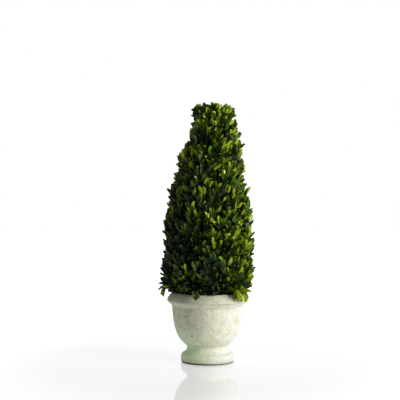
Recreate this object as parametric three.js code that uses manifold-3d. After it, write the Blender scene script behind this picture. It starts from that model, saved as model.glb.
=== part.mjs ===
// Boxwood cone topiary in a cast cement urn.
//
// Millimetres, +Z up. The origin is the centre of the flat underside of the urn's foot.
// The front of the plant faces -Y, and +X is on its right.
// The urn is a hollow casting filled with planting mix. A short stem stands in the mix
// and runs up inside the clipped foliage, which rests round the urn's mouth.

import * as THREE from 'three';
import { mergeVertices } from 'three/addons/utils/BufferGeometryUtils.js';
import Module from 'manifold-3d';

const wasm = await Module();
wasm.setup();

// ---- Driving dimensions ---------------------------------------------------------------

const TOTAL_HEIGHT = 508; // underside of the foot to the highest leaf tip
const CLEARANCE = 0.35; // gap kept between pieces that touch

// Urn. A pull is a radius and height that a curve bends towards without reaching it.
const UNDERSIDE_RADIUS = 49.5;
const UNDERSIDE_ROUND = 1.5;
const FOOT_RADIUS = 52;
const FOOT_EDGE_HEIGHT = 9; // widest line of the foot
const FOOT_EDGE_ROUND = 4;
const FOOT_SLOPE = [47.5, 18]; // half way up the foot's sloping side
const NECK_RADIUS = 39.8;
const NECK_HEIGHT = 29.3;
const NECK_ROUND = 2.3;
const BOWL_LOWER_PULL = [42.8, 38];
const BOWL_UPPER_PULL = [66.4, 38];
const BOWL_RADIUS = 70.2; // where the bowl meets the rim
const RIM_START_HEIGHT = 107;
const RIM_RADIUS = 79.2;
const RIM_NOSE_HEIGHT = 121;
const RIM_NOSE_ROUND = 2.4;
const RIM_UPPER_PULL = [78.2, 125];
const RIM_TOP_RADIUS = 67.5;
const RIM_TOP_HEIGHT = 135;
const MOUTH_RADIUS = 61;
const MOUTH_LIP = 2.5; // worn round on the inner edge of the rim
const CAVITY_RADIUS = 60.5; // just below the mouth
const CAVITY_UPPER_PULL = [57, 58];
const CAVITY_LOWER_PULL = [47, 50];
const CAVITY_FLOOR_RADIUS = 34;
const CAVITY_FLOOR_HEIGHT = 44;
const URN_SIDES = 48;
const CURVE_STEPS = 4; // straight steps in each curve of the urn's outline

// Planting mix
const MIX_HEIGHT = 119; // at the wall
const MIX_DOME = 1.5; // extra height at the stem
const MIX_DOME_RADIUS = 20;

// Stem
const STEM_TOP_HEIGHT = 250;
const STEM_TOP_RADIUS = 4;
const STEM_RADIUS = 6.5; // above the flare
const FLARE_RADIUS = 12;
const FLARE_HEIGHT = 22;
const STEM_LEAN = 7; // sideways run from the flat cut to the top
const STEM_BOW = 2; // forward and back bend at mid height
const STEM_SIDES = 12;
const STEM_STEPS = 9;

// Clipped foliage
const BELLY_RADIUS = 89; // widest part of the clipped cone, before its clumps
const BELLY_HEIGHT = 187;
const SKIRT_RADIUS = 68; // where the leaves leave the urn's mouth
const SKIRT_HEIGHT = 136;
const SKIRT_CURVE = 3.9; // high values keep the skirt full until close to the rim
const TAPER_LENGTH = 424; // belly to the point where the tapering sides would meet
const TAPER_CURVE = 1.6;
const SHOULDER_HEIGHT = 465; // top of the tapering side, under the head
const SHOULDER_ROUND = 6;
const NECKLINE_RADIUS = 33; // pinch between the cone and the head
const PLUG_RADIUS = 57; // foliage that dips into the urn's mouth
const PLUG_HEIGHT = 122.5;
const CONE_SIDES = 48;
const CONE_STEPS = 38;

// Head tuft
const HEAD_RADIUS = 38;
const HEAD_WIDEST_HEIGHT = 485;
const HEAD_UPPER_PULL = [36, 495];
const HEAD_EDGE_RADIUS = 27;
const HEAD_EDGE_HEIGHT = 500;
const HEAD_TOP_ROUGHNESS = 2.5;
const HEAD_SIDES = 26;
const TIP_OFFSET = 4; // the highest leaf stands this far right of the head's middle

// The whole plant leans a little to its right towards the head.
const PLANT_LEAN = 12.5;
const LEAN_CURVE = 1.7;

// Clumps of sprigs make the clipped face uneven.
const CLUMP_SEED = 20;
const CLUMP_COUNT = 190;
const CLUMP_SPREAD = [8, 16];
const CLUMP_REACH = [-5.5, 5.5];
const LEAF_ROUGHNESS = 1.8;

// Tufts that stand out of the clipped face: degrees round from +X, height and reach.
const TUFTS = [
  { azimuth: 0, height: 231, reach: 4 },
  { azimuth: 8, height: 182, reach: 3 },
  { azimuth: 3, height: 298, reach: 3 },
  { azimuth: 179, height: 340, reach: 9 },
  { azimuth: 183, height: 250, reach: 3 },
  { azimuth: 176, height: 190, reach: 4 },
];
const TUFT_SPREAD = 9;

// Sprigs that droop over the rim: degrees round from +X, middle of the sprig, half sizes.
const SPRIGS = {
  sprig_front: { azimuth: -106, radius: 78, height: 134, width: 9, depth: 6, length: 13 },
  sprig_front_right: { azimuth: -43, radius: 80, height: 138, width: 14, depth: 8, length: 15 },
  sprig_left: { azimuth: 188, radius: 83, height: 142, width: 12, depth: 9, length: 16 },
};
const SPRIG_TILT = 14; // degrees, tips swung in towards the urn
const SPRIG_ROUGHNESS = 0.12;
const SPRIG_SIDES = 12;
const SPRIG_STEPS = 8;

// ---- Materials ------------------------------------------------------------------------

function paint(color, roughness) {
  return new THREE.MeshStandardMaterial({ color, roughness, metalness: 0 });
}

const cement = paint(0xd9d8c2, 0.9);
const plantingMix = paint(0x3a2c20, 1);
const bark = paint(0x6d5b45, 0.9);
const deepGreen = paint(0x27380f, 0.75);
const brightGreen = paint(0x4a6a1b, 0.7);

// ---- Helpers --------------------------------------------------------------------------

/** A repeatable source of numbers from 0 to 1. */
function seededRandom(seed) {
  let state = seed;
  return () => {
    state = (state + 0x6d2b79f5) | 0;
    let mixed = Math.imul(state ^ (state >>> 15), 1 | state);
    mixed = (mixed + Math.imul(mixed ^ (mixed >>> 7), 61 | mixed)) ^ mixed;
    return ((mixed ^ (mixed >>> 14)) >>> 0) / 4294967296;
  };
}

/** Revolves [radius, height] points about Z. The first and last point lie on the axis. */
function revolve(points, sides) {
  const profile = points.map(([radius, height]) => new THREE.Vector2(radius, height));
  const geometry = new THREE.LatheGeometry(profile, sides);
  geometry.rotateX(Math.PI / 2);
  return weld(geometry);
}

/** Merges shared vertices and drops the triangles that close up at a pole. */
function weld(geometry) {
  geometry.deleteAttribute('normal');
  geometry.deleteAttribute('uv');
  const welded = mergeVertices(geometry, 1e-3);
  const kept = [];
  const index = welded.index.array;
  for (let i = 0; i < index.length; i += 3) {
    const [a, b, c] = index.slice(i, i + 3);
    if (a !== b && b !== c && c !== a) kept.push(a, b, c);
  }
  welded.setIndex(kept);
  return welded;
}

/** Calls move(point, index) on every vertex, which shifts the point in place. */
function shapeVertices(geometry, move) {
  const position = geometry.attributes.position;
  const point = new THREE.Vector3();
  for (let i = 0; i < position.count; i += 1) {
    point.fromBufferAttribute(position, i);
    move(point, i);
    position.setXYZ(i, point.x, point.y, point.z);
  }
  return geometry;
}

/** The profile moved outwards by distance, square to each stretch. */
function growProfile(points, distance) {
  return points.map(([radius, height], i) => {
    const before = points[Math.max(i - 1, 0)];
    const after = points[Math.min(i + 1, points.length - 1)];
    const along = new THREE.Vector2(after[0] - before[0], after[1] - before[1]).normalize();
    const onAxis = radius === 0;
    const grownRadius = onAxis ? 0 : radius + along.y * distance;
    return [grownRadius, height - along.x * distance];
  });
}

function toSolid(geometry) {
  const vertProperties = new Float32Array(geometry.attributes.position.array);
  const triVerts = new Uint32Array(geometry.index.array);
  return new wasm.Manifold(new wasm.Mesh({ numProp: 3, vertProperties, triVerts }));
}

function toGeometry(solid) {
  const { vertProperties, triVerts } = solid.getMesh();
  const geometry = new THREE.BufferGeometry();
  geometry.setAttribute('position', new THREE.BufferAttribute(vertProperties, 3));
  geometry.setIndex(new THREE.BufferAttribute(triVerts, 1));
  return geometry;
}

/** The largest separate body of a solid. A cut can leave crumbs beside it. */
function largestBody(solid) {
  return solid.decompose().reduce((best, body) => (body.volume() > best.volume() ? body : best));
}

function mesh(name, geometry, material) {
  geometry.computeVertexNormals();
  const piece = new THREE.Mesh(geometry, material);
  piece.name = name;
  return piece;
}

// ---- Urn ------------------------------------------------------------------------------

/** Foot, bowl and rim from the axis up, then the cavity back down to the axis. */
function urnProfile() {
  const outline = new THREE.Path();
  outline.moveTo(0, 0);
  outline.lineTo(UNDERSIDE_RADIUS, 0);
  outline.quadraticCurveTo(FOOT_RADIUS, UNDERSIDE_ROUND, FOOT_RADIUS, FOOT_EDGE_HEIGHT);
  outline.quadraticCurveTo(FOOT_RADIUS, FOOT_EDGE_HEIGHT + FOOT_EDGE_ROUND, ...FOOT_SLOPE);
  outline.quadraticCurveTo(NECK_RADIUS, NECK_HEIGHT - NECK_ROUND, NECK_RADIUS, NECK_HEIGHT);
  outline.bezierCurveTo(...BOWL_LOWER_PULL, ...BOWL_UPPER_PULL, BOWL_RADIUS, RIM_START_HEIGHT);
  outline.lineTo(RIM_RADIUS - RIM_NOSE_ROUND, RIM_NOSE_HEIGHT - 2.5 * RIM_NOSE_ROUND);
  const noseBend = [RIM_RADIUS, RIM_NOSE_HEIGHT - RIM_NOSE_ROUND];
  outline.quadraticCurveTo(...noseBend, RIM_RADIUS, RIM_NOSE_HEIGHT);
  outline.quadraticCurveTo(...RIM_UPPER_PULL, RIM_TOP_RADIUS, RIM_TOP_HEIGHT);
  outline.lineTo(MOUTH_RADIUS + MOUTH_LIP, RIM_TOP_HEIGHT);
  outline.lineTo(MOUTH_RADIUS, RIM_TOP_HEIGHT - MOUTH_LIP);
  outline.lineTo(CAVITY_RADIUS, RIM_START_HEIGHT);
  const cavityFloor = [CAVITY_FLOOR_RADIUS, CAVITY_FLOOR_HEIGHT];
  outline.bezierCurveTo(...CAVITY_UPPER_PULL, ...CAVITY_LOWER_PULL, ...cavityFloor);
  outline.lineTo(0, CAVITY_FLOOR_HEIGHT);
  return outline.getPoints(CURVE_STEPS).map(({ x, y }) => [x, y]);
}

const urnOutline = urnProfile();
const urnClearance = toSolid(revolve(growProfile(urnOutline, CLEARANCE), URN_SIDES));

function makeUrn() {
  return mesh('urn', revolve(urnOutline, URN_SIDES), cement);
}

/** The mix follows the cavity's wall and floor, and rises slightly towards the stem. */
function makePlantingMix() {
  const cavity = urnOutline.filter(([radius, height], i) => {
    const insideWall = i > urnOutline.length / 2 && radius <= CAVITY_RADIUS;
    return insideWall && radius > 0 && height < MIX_HEIGHT;
  });
  const wall = cavity.reverse().map(([radius, height]) => [radius - 2 * CLEARANCE, height]);
  const floor = CAVITY_FLOOR_HEIGHT + CLEARANCE;
  wall[0][1] = floor;
  const profile = [
    [0, floor],
    ...wall,
    [CAVITY_RADIUS - 2 * CLEARANCE, MIX_HEIGHT],
    [MIX_DOME_RADIUS, MIX_HEIGHT + MIX_DOME],
    [0, MIX_HEIGHT + MIX_DOME],
  ];
  return mesh('planting_mix', revolve(profile, URN_SIDES), plantingMix);
}

// ---- Stem -----------------------------------------------------------------------------

/** Radius of the stem: a shaft that tapers evenly, and a flare that dies away above the cut. */
function stemRadius(climb, length) {
  const shaft = STEM_RADIUS + (STEM_TOP_RADIUS - STEM_RADIUS) * climb;
  const flare = (FLARE_RADIUS - STEM_RADIUS) * Math.exp((-3 * climb * length) / FLARE_HEIGHT);
  return shaft + flare;
}

/** A tapering, leaning stem with a root flare above its flat cut, grown by extra. */
function stemGeometry(extra) {
  const foot = MIX_HEIGHT + MIX_DOME + CLEARANCE;
  const length = STEM_TOP_HEIGHT - foot;
  const profile = [[0, foot - extra]];
  for (let step = 0; step <= STEM_STEPS; step += 1) {
    const climb = (step / STEM_STEPS) ** 1.5; // short steps near the flare
    const lift = step === 0 ? -extra : extra * climb;
    profile.push([stemRadius(climb, length) + extra, foot + climb * length + lift]);
  }
  profile.push([0, STEM_TOP_HEIGHT + extra]);
  return shapeVertices(revolve(profile, STEM_SIDES), (point) => {
    const climb = (point.z - foot) / length;
    point.x += STEM_LEAN * climb;
    point.y += STEM_BOW * Math.sin(Math.PI * climb);
  });
}

const stemClearance = toSolid(stemGeometry(CLEARANCE));

function makeStem() {
  return mesh('stem', stemGeometry(0), bark);
}

// ---- Foliage --------------------------------------------------------------------------

/** Radius of the clipped outline at a height, before the clumps. */
function clippedRadius(height) {
  if (height < BELLY_HEIGHT) {
    const drop = (BELLY_HEIGHT - height) / (BELLY_HEIGHT - SKIRT_HEIGHT);
    return BELLY_RADIUS - (BELLY_RADIUS - SKIRT_RADIUS) * drop ** SKIRT_CURVE;
  }
  const climb = (height - BELLY_HEIGHT) / TAPER_LENGTH;
  return BELLY_RADIUS * (1 - climb ** TAPER_CURVE);
}

/** Sideways place of the plant's middle line at a height. */
function leanAt(height) {
  const climb = (height - SKIRT_HEIGHT) / (SHOULDER_HEIGHT - SKIRT_HEIGHT);
  return PLANT_LEAN * Math.min(Math.max(climb, 0), 1) ** LEAN_CURVE;
}

function makeClumps() {
  const random = seededRandom(CLUMP_SEED);
  const between = ([low, high]) => low + (high - low) * random();
  const clumps = TUFTS.map(({ azimuth, height, reach }) => {
    return { azimuth: THREE.MathUtils.degToRad(azimuth), height, reach, spread: TUFT_SPREAD };
  });
  for (let i = 0; i < CLUMP_COUNT; i += 1) {
    clumps.push({
      azimuth: 2 * Math.PI * random(),
      height: between([SKIRT_HEIGHT, TOTAL_HEIGHT]),
      reach: between(CLUMP_REACH),
      spread: between(CLUMP_SPREAD),
    });
  }
  return clumps;
}

const clumps = makeClumps();

/** How far the clumps push the clipped face out at a place on it. */
function clumpReach(azimuth, radius, height) {
  let reach = 0;
  for (const clump of clumps) {
    const turn = Math.atan2(Math.sin(azimuth - clump.azimuth), Math.cos(azimuth - clump.azimuth));
    const distance = Math.hypot(turn * radius, height - clump.height) / clump.spread;
    reach += clump.reach * Math.exp(-distance * distance);
  }
  return reach;
}

/**
 * Turns a smooth revolved mass into an uneven, leaning one. Its face, outside innerRadius,
 * follows the clumps and is grown by extra.
 */
function roughenFoliage(geometry, { seed, innerRadius, extra = 0 }) {
  const random = seededRandom(seed);
  return shapeVertices(geometry, (point) => {
    const roughness = LEAF_ROUGHNESS * (2 * random() - 1);
    const radius = Math.hypot(point.x, point.y);
    const onFace = point.z > SKIRT_HEIGHT + 1 && radius > innerRadius;
    if (onFace) {
      const azimuth = Math.atan2(point.y, point.x);
      const reach = clumpReach(azimuth, radius, point.z) + roughness + extra;
      point.x *= (radius + reach) / radius;
      point.y *= (radius + reach) / radius;
    }
    point.x += leanAt(point.z);
  });
}

/** The clipped cone: plug in the urn's mouth, skirt, belly, tapering side and shoulder. */
function coneGeometry(extra) {
  const profile = [
    [0, PLUG_HEIGHT - extra],
    [PLUG_RADIUS, PLUG_HEIGHT - extra],
    [PLUG_RADIUS + 2, SKIRT_HEIGHT - extra],
    [SKIRT_RADIUS, SKIRT_HEIGHT - extra],
  ];
  for (let step = 1; step <= CONE_STEPS; step += 1) {
    const climb = (step / CONE_STEPS) ** 1.15; // short steps near the skirt
    const height = SKIRT_HEIGHT + (SHOULDER_HEIGHT - SKIRT_HEIGHT) * climb;
    profile.push([clippedRadius(height), height]);
  }
  profile.push([NECKLINE_RADIUS, SHOULDER_HEIGHT + SHOULDER_ROUND + extra]);
  profile.push([0, SHOULDER_HEIGHT + SHOULDER_ROUND + extra]);
  const smooth = revolve(profile, CONE_SIDES);
  return roughenFoliage(smooth, { seed: CLUMP_SEED + 1, innerRadius: NECKLINE_RADIUS, extra });
}

const coneClearance = toSolid(coneGeometry(CLEARANCE));

function makeFoliageCone() {
  const solid = toSolid(coneGeometry(0)).subtract(urnClearance).subtract(stemClearance);
  return mesh('foliage_cone', toGeometry(largestBody(solid)), deepGreen);
}

function nearestVertex(geometry, target) {
  const nearest = { index: 0, distance: Infinity };
  shapeVertices(geometry, (point, index) => {
    const distance = point.distanceTo(target);
    if (distance < nearest.distance) Object.assign(nearest, { index, distance });
  });
  return nearest.index;
}

/** The splayed tuft at the top: an uneven flat top, with one leaf standing highest. */
function makeFoliageHead() {
  const foot = SHOULDER_HEIGHT + SHOULDER_ROUND + CLEARANCE;
  const outline = new THREE.Path();
  outline.moveTo(0, foot);
  outline.lineTo(NECKLINE_RADIUS, foot);
  outline.quadraticCurveTo(HEAD_RADIUS, foot + 4, HEAD_RADIUS, HEAD_WIDEST_HEIGHT);
  outline.quadraticCurveTo(...HEAD_UPPER_PULL, HEAD_EDGE_RADIUS, HEAD_EDGE_HEIGHT);
  outline.lineTo(HEAD_EDGE_RADIUS / 2, HEAD_EDGE_HEIGHT);
  outline.lineTo(0, HEAD_EDGE_HEIGHT);
  const profile = outline.getPoints(CURVE_STEPS).map(({ x, y }) => [x, y]);
  const smooth = revolve(profile, HEAD_SIDES);
  const seed = CLUMP_SEED + 2;
  const head = roughenFoliage(smooth, { seed, innerRadius: HEAD_EDGE_RADIUS - 1 });
  const random = seededRandom(seed + 1);
  shapeVertices(head, (point) => {
    if (point.z >= HEAD_EDGE_HEIGHT) point.z += HEAD_TOP_ROUGHNESS * (2 * random() - 1);
  });
  const tipPlace = new THREE.Vector3(PLANT_LEAN + TIP_OFFSET, 0, HEAD_EDGE_HEIGHT);
  head.attributes.position.setZ(nearestVertex(head, tipPlace), TOTAL_HEIGHT);
  return mesh('foliage_head', head, brightGreen);
}

/** A drooping sprig: an uneven drop, cut where it meets the rim and the cone. */
function makeSprig(name, { azimuth, radius, height, width, depth, length }, seed) {
  const random = seededRandom(seed);
  const ball = new THREE.SphereGeometry(1, SPRIG_SIDES, SPRIG_STEPS);
  ball.rotateX(Math.PI / 2);
  const drop = shapeVertices(weld(ball), (point) => {
    const roughness = 1 + SPRIG_ROUGHNESS * (2 * random() - 1);
    const fullness = (0.75 + 0.25 * point.z) * roughness;
    point.x *= depth * fullness;
    point.y *= width * fullness;
    point.z *= length;
  });
  drop.rotateY(THREE.MathUtils.degToRad(SPRIG_TILT));
  drop.translate(radius, 0, height);
  drop.rotateZ(THREE.MathUtils.degToRad(azimuth));
  const solid = toSolid(drop).subtract(urnClearance).subtract(coneClearance);
  return mesh(name, toGeometry(largestBody(solid)), brightGreen);
}

// ---- Assembly -------------------------------------------------------------------------

const topiary = new THREE.Group();
topiary.add(makeUrn(), makePlantingMix(), makeStem(), makeFoliageCone(), makeFoliageHead());
Object.entries(SPRIGS).forEach(([name, size], i) => {
  topiary.add(makeSprig(name, size, CLUMP_SEED + 10 + i));
});

export default topiary;
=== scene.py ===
"""Boxwood cone topiary in an aged cement urn.

Metres, +Z up, the front of the plant towards -Y. Places and outer sizes are read from the
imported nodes; the values below set the habit of the plant and the finish of the urn.
"""

import math
import random
from collections import namedtuple
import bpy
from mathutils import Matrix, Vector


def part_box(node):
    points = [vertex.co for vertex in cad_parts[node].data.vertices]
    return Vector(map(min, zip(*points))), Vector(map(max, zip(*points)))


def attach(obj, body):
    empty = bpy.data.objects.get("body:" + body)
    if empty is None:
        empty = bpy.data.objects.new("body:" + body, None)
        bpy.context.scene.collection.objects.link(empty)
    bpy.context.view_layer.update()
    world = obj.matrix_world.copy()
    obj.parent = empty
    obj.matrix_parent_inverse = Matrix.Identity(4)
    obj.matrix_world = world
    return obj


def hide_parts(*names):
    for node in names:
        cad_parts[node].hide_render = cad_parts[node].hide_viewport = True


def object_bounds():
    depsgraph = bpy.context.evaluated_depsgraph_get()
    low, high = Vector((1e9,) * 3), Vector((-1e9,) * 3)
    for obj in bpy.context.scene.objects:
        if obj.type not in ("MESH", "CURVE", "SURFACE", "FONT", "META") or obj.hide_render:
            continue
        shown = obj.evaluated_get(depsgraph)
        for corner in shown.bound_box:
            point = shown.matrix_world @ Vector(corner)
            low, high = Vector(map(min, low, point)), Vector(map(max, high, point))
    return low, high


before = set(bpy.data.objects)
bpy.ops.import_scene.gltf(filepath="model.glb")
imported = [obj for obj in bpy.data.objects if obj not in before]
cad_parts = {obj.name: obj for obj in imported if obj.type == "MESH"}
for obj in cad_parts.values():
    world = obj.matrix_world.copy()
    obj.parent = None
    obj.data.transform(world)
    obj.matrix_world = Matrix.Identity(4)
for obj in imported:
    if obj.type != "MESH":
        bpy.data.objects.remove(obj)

from types import SimpleNamespace

import bmesh
import bpy
import numpy as np
from mathutils import Quaternion, Vector, noise
from mathutils.bvhtree import BVHTree
from mathutils.geometry import interpolate_bezier
from mathutils.kdtree import KDTree

cad_low, cad_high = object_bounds()

BODY = "root"
UP = Vector((0, 0, 1))
SEED = 508

# ---- Frame sizes ----

_, urn_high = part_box("urn")
RIM_RADIUS = urn_high.x
RIM_TOP = urn_high.z
_, cone_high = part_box("foliage_cone")
head_low, head_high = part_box("foliage_head")
stem_low, stem_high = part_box("stem")
HEAD_MIDDLE = (head_low + head_high) / 2

# ---- Studio ----

CAMERA_LENS = 85
SENSOR_WIDTH = 36
VIEW_REACH = 60
CAMERA_DISTANCE = 1.841
CAMERA_HEIGHT = 0.314
CAMERA_SIDE = -0.0146
AMBIENT_LIGHT = 0.20
WALL_LIGHT = 0.8
WALL_EDGE = (0.2, 0.55)  # of the way towards the back, where the white wall begins
SHEEN_BAND = (0.2, 0.32)  # the wall's height as gloss shows it
SHADE_TINT = (0.96, 1.0, 1.02)
KEY_AZIMUTH = 62  # degrees round to the right of the front
KEY_ELEVATION = 12
KEY_DISTANCE = 1.7
KEY_SIZE = 0.9
KEY_POWER = 30
KEY_TINT = (1, 0.985, 1.05)
FLOOR_SIZE = 14
TABLE_WHITE = 0.3
TABLE_GLOSS = 0.06
TABLE_BOUNCE = 0.56
BOUNCE_START = (0.052, 0.068)  # off the axis: none under the foot, and all of it from here on
BOUNCE_REACH = (0.20, 0.42)  # off the axis: it fades out between these
TABLE_LIFT = 0.465
TABLE_TINT = (1.0, 0.975, 0.99)
FAR_LIFT = 0.75
FAR_REACH = (0.30, 0.75)  # off the axis: the table whitens from its own lift to the far one
CONTACT_SHADE = (0.0500, 0.0522)  # off the axis: the dark line of contact ends between these
WHITE = (1, 1, 1)


class Nodes:
    """Short ways to add nodes to one tree. A value is a number, a colour or a socket to link."""

    def __init__(self, tree):
        self.tree = tree

    def link(self, source, target):
        self.tree.links.new(source, target)

    def put(self, value, socket):
        if isinstance(value, bpy.types.NodeSocket):
            self.link(value, socket)
        elif socket.type == "RGBA":
            socket.default_value = (*value, 1)
        else:
            socket.default_value = value

    def node(self, kind, inputs=None, **settings):
        made = self.tree.nodes.new(kind)
        for key, value in settings.items():
            setattr(made, key, value)
        for key, value in (inputs or {}).items():
            self.put(value, made.inputs[key])
        return made

    def spread(self, value, low, high, to_low=0.0, to_high=1.0):
        """Value from low..high spread evenly over to_low..to_high, and held at the ends."""
        made = self.node("ShaderNodeMapRange", clamp=True)
        for number, socket in zip((value, low, high, to_low, to_high), made.inputs):
            self.put(number, socket)
        return made.outputs["Result"]

    def math(self, operation, first, second=0.0):
        made = self.node("ShaderNodeMath", {0: first, 1: second}, operation=operation)
        return made.outputs["Value"]

    def mix(self, amount, first, second, blend="MIX"):
        """Second laid over first by amount."""
        inputs = {0: amount, 6: first, 7: second}
        made = self.node("ShaderNodeMix", inputs, data_type="RGBA", blend_type=blend)
        return made.outputs[2]


def new_object(name, data):
    thing = bpy.data.objects.new(name, data)
    bpy.context.scene.collection.objects.link(thing)
    return thing


def make_camera():
    data = bpy.data.cameras.new("studio_camera")
    data.lens = CAMERA_LENS
    data.sensor_width = SENSOR_WIDTH
    data.clip_end = VIEW_REACH
    camera = new_object("studio_camera", data)
    camera.location = (CAMERA_SIDE, -CAMERA_DISTANCE, CAMERA_HEIGHT)
    camera.rotation_euler = (math.radians(90), 0, 0)
    bpy.context.scene.camera = camera


def make_key_light():
    """A square softbox that faces the middle of the plant. Azimuth 0 is the front."""
    turn, lift = math.radians(KEY_AZIMUTH), math.radians(KEY_ELEVATION)
    away = Vector(
        (math.sin(turn) * math.cos(lift), -math.cos(turn) * math.cos(lift), math.sin(lift))
    )
    middle = Vector((0, 0, (cad_low.z + cad_high.z) / 2))
    data = bpy.data.lights.new("key_softbox", "AREA")
    data.shape = "SQUARE"
    data.size = KEY_SIZE
    data.energy = KEY_POWER
    data.color = KEY_TINT
    lamp = new_object("key_softbox", data)
    lamp.visible_camera = False
    lamp.location = middle + away * KEY_DISTANCE
    lamp.rotation_euler = (middle - lamp.location).to_track_quat("-Z", "Y").to_euler()


def make_backdrop():
    """White all round for the eye; for the plant a white wall behind and a dim room before it."""
    world = bpy.data.worlds.new("white_studio")
    bpy.context.scene.world = world
    world.use_nodes = True
    room = Nodes(world.node_tree)
    background = room.tree.nodes["Background"]
    ray = room.node("ShaderNodeLightPath").outputs
    coords = room.node("ShaderNodeTexCoord").outputs["Generated"]
    direction = room.node("ShaderNodeSeparateXYZ", {"Vector": coords}).outputs
    wall = room.spread(direction["Y"], *WALL_EDGE, AMBIENT_LIGHT, WALL_LIGHT)
    level = room.spread(room.math("ABSOLUTE", direction["Z"]), *SHEEN_BAND, 1, 0)
    sheen = room.math("MULTIPLY", level, ray["Is Glossy Ray"])
    seen = room.math("MAXIMUM", sheen, ray["Is Camera Ray"])
    room.link(room.math("MAXIMUM", wall, seen), background.inputs["Strength"])
    room.link(room.mix(seen, SHADE_TINT, WHITE), background.inputs["Color"])


def make_floor(material):
    form = bmesh.new()
    bmesh.ops.create_grid(form, x_segments=1, y_segments=1, size=FLOOR_SIZE / 2)
    mesh_data = mesh_of(form, "white_table")
    mesh_data.materials.append(material)
    new_object("white_table", mesh_data)


# ---- Materials ----


class Finish(Nodes):
    """One material on the shader's own sockets, and patterns that follow the object."""

    def __init__(self, name, colour=(0.8, 0.8, 0.8), roughness=0.5):
        self.material = bpy.data.materials.new(name)
        self.material.use_nodes = True
        super().__init__(self.material.node_tree)
        self.shader = self.tree.nodes["Principled BSDF"]
        self.set("Base Color", colour)
        self.set("Roughness", roughness)

    def set(self, socket, value):
        self.put(value, self.shader.inputs[socket])

    def place(self, scale=(1, 1, 1)):
        """The point on the object, stretched by scale."""
        coords = self.node("ShaderNodeTexCoord").outputs["Object"]
        return self.node("ShaderNodeMapping", {"Vector": coords, "Scale": scale}).outputs["Vector"]

    def noise(self, scale, detail=2.0, roughness=0.5, stretch=(1, 1, 1), distortion=0.0):
        inputs = {
            "Vector": self.place(stretch),
            "Scale": scale,
            "Detail": detail,
            "Roughness": roughness,
            "Distortion": distortion,
        }
        return self.node("ShaderNodeTexNoise", inputs).outputs["Fac"]

    def cells(self, scale):
        """How far a point is from the middle of its cell: small on scattered spots."""
        inputs = {"Vector": self.place(), "Scale": scale, "Randomness": 1.0}
        return self.node("ShaderNodeTexVoronoi", inputs).outputs["Distance"]

    def ramp(self, value, stops):
        """A colour ramp from {position: (r, g, b)}."""
        made = self.node("ShaderNodeValToRGB", {"Fac": value})
        elements = made.color_ramp.elements
        while len(elements) < len(stops):
            elements.new(0.5)
        for element, (position, colour) in zip(elements, sorted(stops.items())):
            element.position = position
            element.color = (*colour, 1)
        return made.outputs["Color"]

    def stain(self, under, tone, *amounts):
        """A tone laid over what is under it, as strongly as the amounts multiplied together."""
        amount = amounts[0]
        for other in amounts[1:]:
            amount = self.math("MULTIPLY", amount, other)
        return self.mix(amount, under, tone)

    def tinge(self, under, tones, amount=1.0):
        """The colours under it multiplied by tones."""
        return self.mix(amount, under, tones, "MULTIPLY")

    def along(self, axis):
        coords = self.node("ShaderNodeTexCoord").outputs["Object"]
        return self.node("ShaderNodeSeparateXYZ", {"Vector": coords}).outputs[axis]

    def across(self, ends, left=0.0, right=1.0):
        """From left to right between two distances off the axis."""
        return self.spread(self.along("X"), *ends, left, right)

    def upward(self, ends, low=0.0, high=1.0):
        """From low to high between two heights."""
        return self.spread(self.along("Z"), *ends, low, high)

    def band(self, middle, reach):
        """1 at a height, falling to 0 at reach above and below it."""
        away = self.math("ABSOLUTE", self.math("SUBTRACT", self.along("Z"), middle))
        return self.spread(away, 0, reach, 1, 0)

    def bump(self, height, strength, distance):
        inputs = {"Height": height, "Strength": strength, "Distance": distance}
        self.set("Normal", self.node("ShaderNodeBump", inputs).outputs["Normal"])


def white_table_finish():
    """Glossy white table: a soft bounce for the plant, and white for the eye."""
    finish = Finish("white_table_top", (TABLE_WHITE,) * 3, TABLE_GLOSS)
    flat = finish.place((1, 1, 0))
    away = finish.node("ShaderNodeVectorMath", {0: flat}, operation="LENGTH").outputs["Value"]
    near = finish.spread(away, *CONTACT_SHADE, 0, TABLE_LIFT)
    lift = finish.math("ADD", near, finish.spread(away, *FAR_REACH, 0, FAR_LIFT - TABLE_LIFT))
    begun = finish.spread(away, *BOUNCE_START)
    bounce = finish.math("MULTIPLY", begun, finish.spread(away, *BOUNCE_REACH, TABLE_BOUNCE, 0))
    eye = finish.node("ShaderNodeLightPath").outputs["Is Camera Ray"]
    finish.set("Emission Color", finish.mix(eye, SHADE_TINT, TABLE_TINT))
    finish.set("Emission Strength", finish.spread(eye, 0, 1, bounce, lift))
    return finish.material


# Colours of the cement over a pattern's value, and the tones laid over them.
CEMENT_WASH = {0.32: (0.76, 0.745, 0.57), 0.50: (0.82, 0.80, 0.64), 0.68: (0.86, 0.84, 0.69)}
CEMENT_MOTTLE = {0.33: (0.80, 0.79, 0.72), 0.50: (0.98, 0.98, 0.96), 0.68: (1.06, 1.06, 1.08)}
CEMENT_RUNS = {0.38: (0.95, 0.96, 0.94), 0.62: (1.02, 1.02, 1.02)}
CEMENT_GRAIN = {0.30: (0.84, 0.84, 0.82), 0.60: (1.05, 1.05, 1.05)}
OCHRE_FLECK = (0.52, 0.48, 0.28)
# painted highlight: the lit right side of the urn is washed whiter
LIT_SIDE_PAINTED_WHITE = (0.80, 0.79, 0.745)
OCHRE_CLOUD = (0.62, 0.60, 0.33)
TURNING_MARK = (0.66, 0.66, 0.45)
ALGAE = (0.58, 0.80, 0.48)
# painted bounce light: the foot is lightened, and blued on the lit right so its highlight stays
# white
PAINTED_BOUNCE_LEFT = (1.13, 1.13, 1.13)
PAINTED_BOUNCE_RIGHT = (1.0, 0.99, 1.10)
CREASE_DIRT_AND_SHADE = (0.42, 0.36, 0.17)
# painted contact shadow at the foot's bottom edge, darkest on the shaded left
FOOT_PAINTED_SHADOW = (0.06, 0.06, 0.035)
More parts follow.
